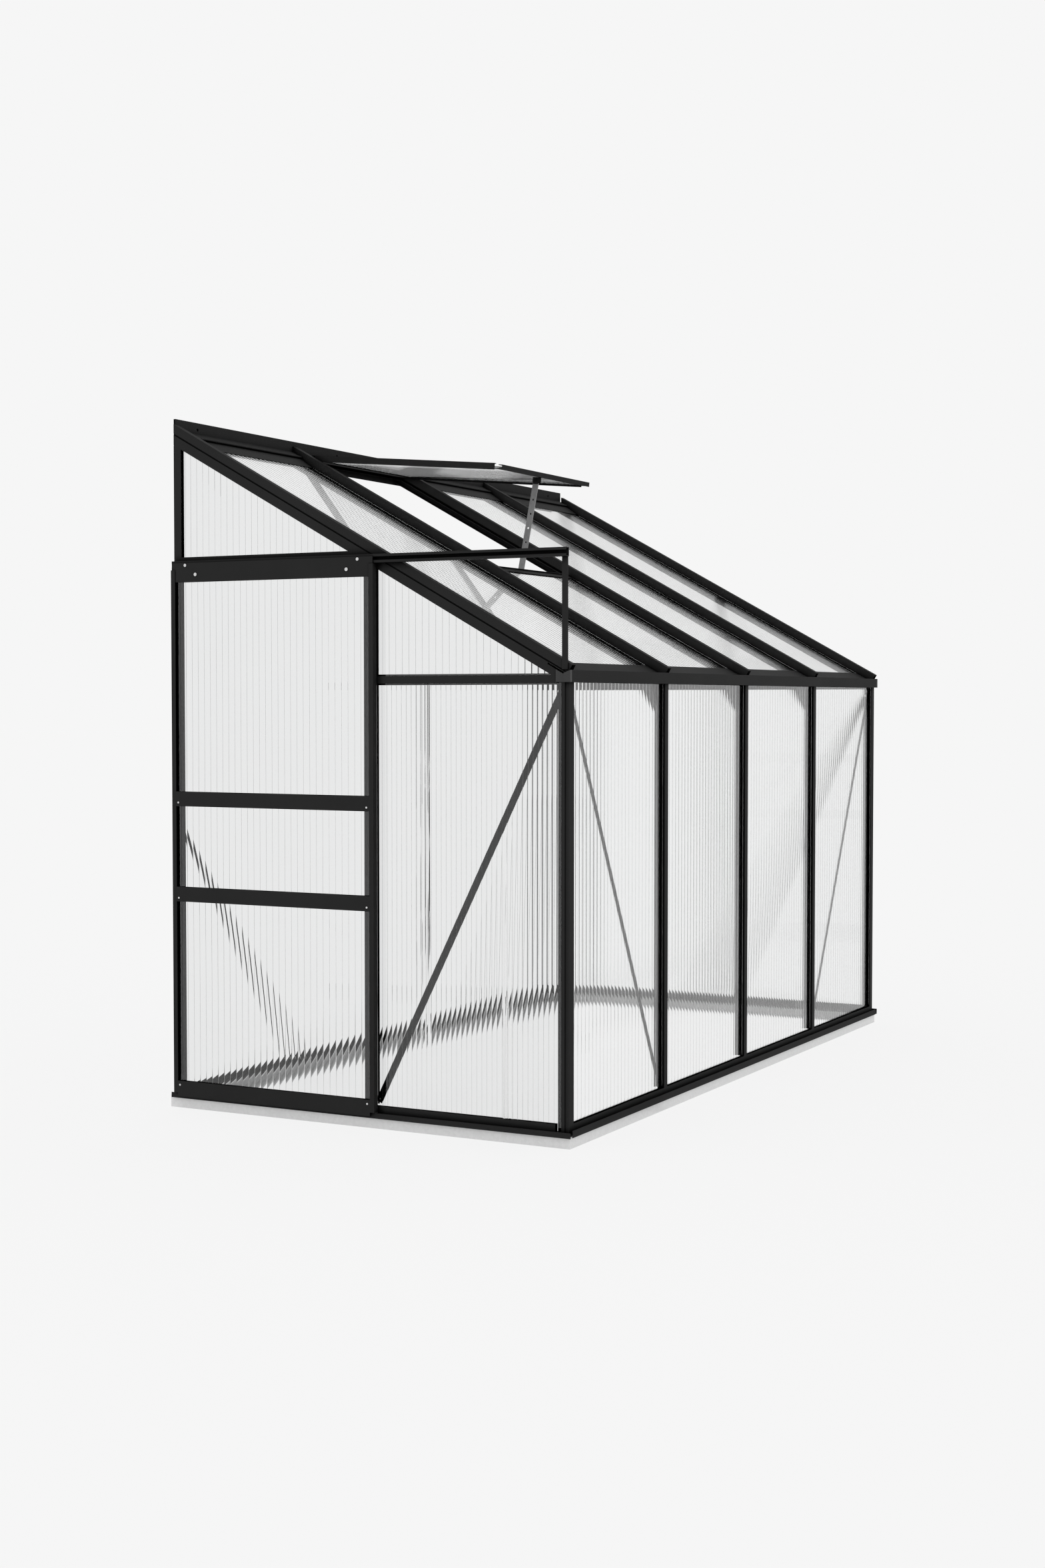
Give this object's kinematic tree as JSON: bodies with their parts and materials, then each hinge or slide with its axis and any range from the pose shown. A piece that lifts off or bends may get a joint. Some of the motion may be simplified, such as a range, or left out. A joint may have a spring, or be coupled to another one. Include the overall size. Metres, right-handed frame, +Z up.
{
  "type": "lean to greenhouse",
  "caption": "Lean-to greenhouse with a black metal frame on a low steel plinth, clear twin-wall panes, a sliding door in one gable and a hinged roof vent held by a stay.",
  "frame": {"origin": "middle of the plinth's four corner anchor holes, on the ground", "axes": "+X along the house wall from the door gable to the far gable, +Y from the eave to the house wall, +Z up"},
  "size_m": [2.5675, 1.3115, 2.007],
  "materials": {
    "black_frame": "matt powder coat on aluminium",
    "plinth_steel": "galvanised",
    "clear_sheet": "clear twin-wall polycarbonate",
    "zinc_fixings": "zinc plated",
    "black_nylon": "matt",
    "plain_aluminium": "mill finish"
  },
  "bodies": {
    "frame": {"plinth_front_rail": "plinth_steel", "plinth_wall_rail": "plinth_steel", "plinth_end_rails": "plinth_steel", "front_sill": "black_frame", "door_gable_sill": "black_frame", "far_gable_sill": "black_frame", "wall_sill": "black_frame", "corner_post_door_end": "black_frame", "corner_post_far_end": "black_frame", "wall_post_door_end": "black_frame", "wall_post_far_end": "black_frame", "front_bars": "black_frame", "door_post": "black_frame", "far_gable_post": "black_frame", "gable_rails": "black_frame", "door_header_rail": "black_frame", "eave_gutter": "black_frame", "gutter_end_caps": "black_nylon", "wall_bar": "black_frame", "roof_bar_1": "black_frame", "roof_bar_2": "black_frame", "roof_bar_3": "black_frame", "roof_bar_4": "black_frame", "roof_bar_5": "black_frame", "roof_top_strips": "black_frame", "vent_sill": "black_frame", "door_track": "black_frame", "track_strut": "black_frame", "gable_braces": "black_frame", "front_braces": "black_frame", "wall_braces": "black_frame", "eave_gussets": "black_frame", "front_pane_1": "clear_sheet", "front_pane_2": "clear_sheet", "front_pane_3": "clear_sheet", "front_pane_4": "clear_sheet", "roof_pane_1": "clear_sheet", "roof_pane_2": "clear_sheet", "roof_pane_3": "clear_sheet", "roof_pane_4": "clear_sheet", "gable_pane_lower": "clear_sheet", "gable_pane_upper": "clear_sheet", "header_pane": "clear_sheet", "far_gable_panes": "clear_sheet", "frame_bolts": "zinc_fixings"},
    "door": {"door_stiles": "black_frame", "door_head_plate": "black_frame", "door_mid_rails": "black_frame", "door_bottom_rail": "black_frame", "door_panes": "clear_sheet", "door_bolts": "zinc_fixings", "door_bottom_guides": "black_nylon"},
    "roller_1": {"door_roller_1": "black_nylon"},
    "roller_2": {"door_roller_2": "black_nylon"},
    "vent": {"vent_hinge_rail": "black_frame", "vent_side_rails": "black_frame", "vent_front_rail": "black_frame", "vent_pane": "clear_sheet", "stay_bracket": "black_frame"},
    "stay": {"vent_stay": "plain_aluminium"}
  },
  "joints": [
    {"name": "door_slide", "type": "slide", "parent": "frame", "child": "door", "axis": [0, -1, 0], "range_m": [0, 0.575]},
    {"name": "roller_1_spin", "type": "hinge", "parent": "door", "child": "roller_1", "pos_m": [-1.276, 0.578, 1.5791], "axis": [1, 0, 0], "continuous": true},
    {"name": "roller_2_spin", "type": "hinge", "parent": "door", "child": "roller_2", "pos_m": [-1.276, -0.006, 1.5791], "axis": [1, 0, 0], "continuous": true},
    {"name": "vent_hinge", "type": "hinge", "parent": "frame", "child": "vent", "pos_m": [-0.31338, 0.60639, 1.95542], "axis": [-1, 0, 0], "range_deg": [-23.6, 6]},
    {"name": "stay_pivot", "type": "hinge", "parent": "vent", "child": "stay", "pos_m": [-0.31338, -0.05837, 1.87768], "axis": [-1, 0, 0], "range_deg": [-6, 23.6]}
  ],
  "couplings": [
    {"joint": "roller_1_spin", "follows": "door_slide", "rad_per_m": 111.11},
    {"joint": "roller_2_spin", "follows": "door_slide", "rad_per_m": 111.11},
    {"joint": "stay_pivot", "follows": "vent_hinge", "ratio": -1}
  ]
}
